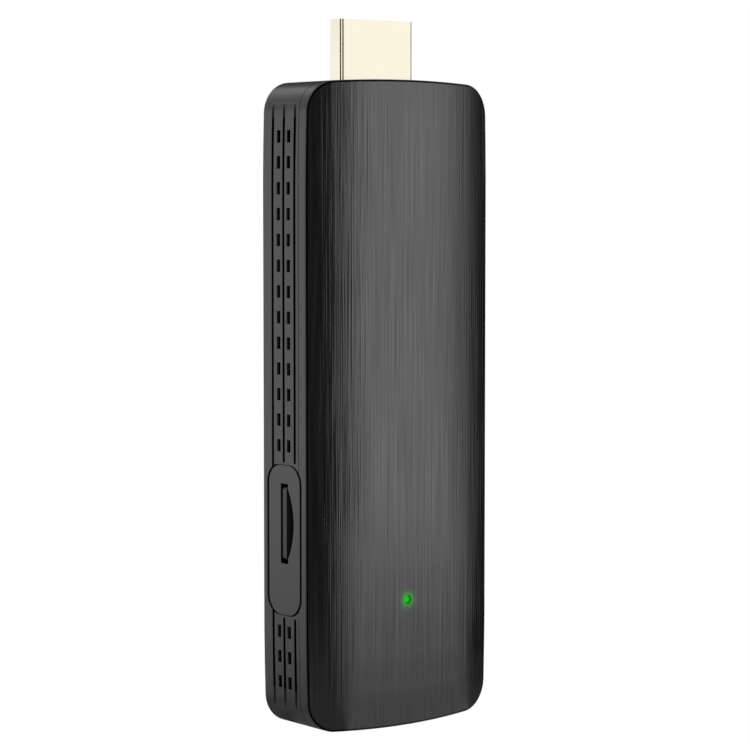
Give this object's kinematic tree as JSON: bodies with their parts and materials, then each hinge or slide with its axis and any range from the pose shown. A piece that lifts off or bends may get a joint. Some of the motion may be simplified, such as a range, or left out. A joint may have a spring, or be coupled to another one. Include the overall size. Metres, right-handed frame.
{
  "type": "streaming stick",
  "caption": "Slim black TV streaming stick with a gold plug at the top, brushed crowned front, vented grooved sides, a side memory-card slot, power inlet and bottom USB socket.",
  "frame": {"origin": "centre of the TV plug where it leaves the casing's top end", "axes": "+Z out along the plug, -Y out of the brushed front face, -X out of the card slot"},
  "size_m": [0.0354, 0.0134, 0.1082],
  "materials": {
    "casing_black": "satin, very fine grain",
    "front_skin": "black anodised, brushed lengthwise",
    "plug_plating": "pale gold plating on steel",
    "contact_gold": "gold plated spring bronze",
    "insulator_black": "moulded nylon",
    "socket_cream": "moulded heat-proof nylon",
    "board_mask": "green solder mask on glass fibre",
    "plated_sheet": "tin plated sheet",
    "steel_wire": "spring steel",
    "screw_steel": "black zinc plated",
    "chip_black": "moulded epoxy",
    "ferrite": "pressed ferrite",
    "ceramic": "fired ceramic",
    "crystal_can": "plated lid",
    "pad_grey": "soft filled silicone",
    "fin_aluminium": "extruded, bright",
    "light_clear": "clear acrylic, lit green from behind",
    "light_green": "lit green lens",
    "card_black": "satin moulded"
  },
  "bodies": {
    "stick": {"front_cover": "casing_black", "front_plate": "front_skin", "rear_case": "casing_black", "card_panel": "casing_black", "port_panel": "casing_black", "plug_shell": "plug_plating", "plug_insulator": "insulator_black", "plug_contacts": "contact_gold", "main_board": "board_mask", "board_screws": "screw_steel", "card_socket_base": "socket_cream", "card_socket_cover": "plated_sheet", "card_socket_contacts": "contact_gold", "card_latch_pin": "steel_wire", "card_spring": "steel_wire", "usb_shell": "plated_sheet", "usb_tongue": "insulator_black", "usb_contacts": "contact_gold", "inlet_shell": "plated_sheet", "inlet_tongue": "insulator_black", "inlet_contacts": "contact_gold", "reset_base": "insulator_black", "light_pipe": "light_clear", "status_led": "light_green", "processor": "chip_black", "memory_chips": "chip_black", "flash_chip": "chip_black", "power_chip": "chip_black", "wireless_module": "board_mask", "wireless_shield": "plated_sheet", "crystals": "crystal_can", "inductors": "ferrite", "capacitors": "ceramic", "thermal_pad": "pad_grey", "heat_spreader": "fin_aluminium", "antenna": "plated_sheet"},
    "slider": {"card_slider": "socket_cream"},
    "card": {"memory_card": "card_black"},
    "plunger": {"reset_plunger": "socket_cream"}
  },
  "joints": [
    {"name": "card_push", "type": "slide", "parent": "stick", "child": "slider", "axis": [-1, 0, 0], "range_m": [-0.0007, 0.0018], "stiffness_N_per_m": 60, "deforming": ["card_spring"]},
    {"name": "card_pull", "type": "slide", "parent": "slider", "child": "card", "axis": [-1, 0, 0], "range_m": [0, 0.013]},
    {"name": "reset_press", "type": "slide", "parent": "stick", "child": "plunger", "axis": [-1, 0, 0], "range_m": [0, 0.00025], "stiffness_N_per_m": 800}
  ]
}
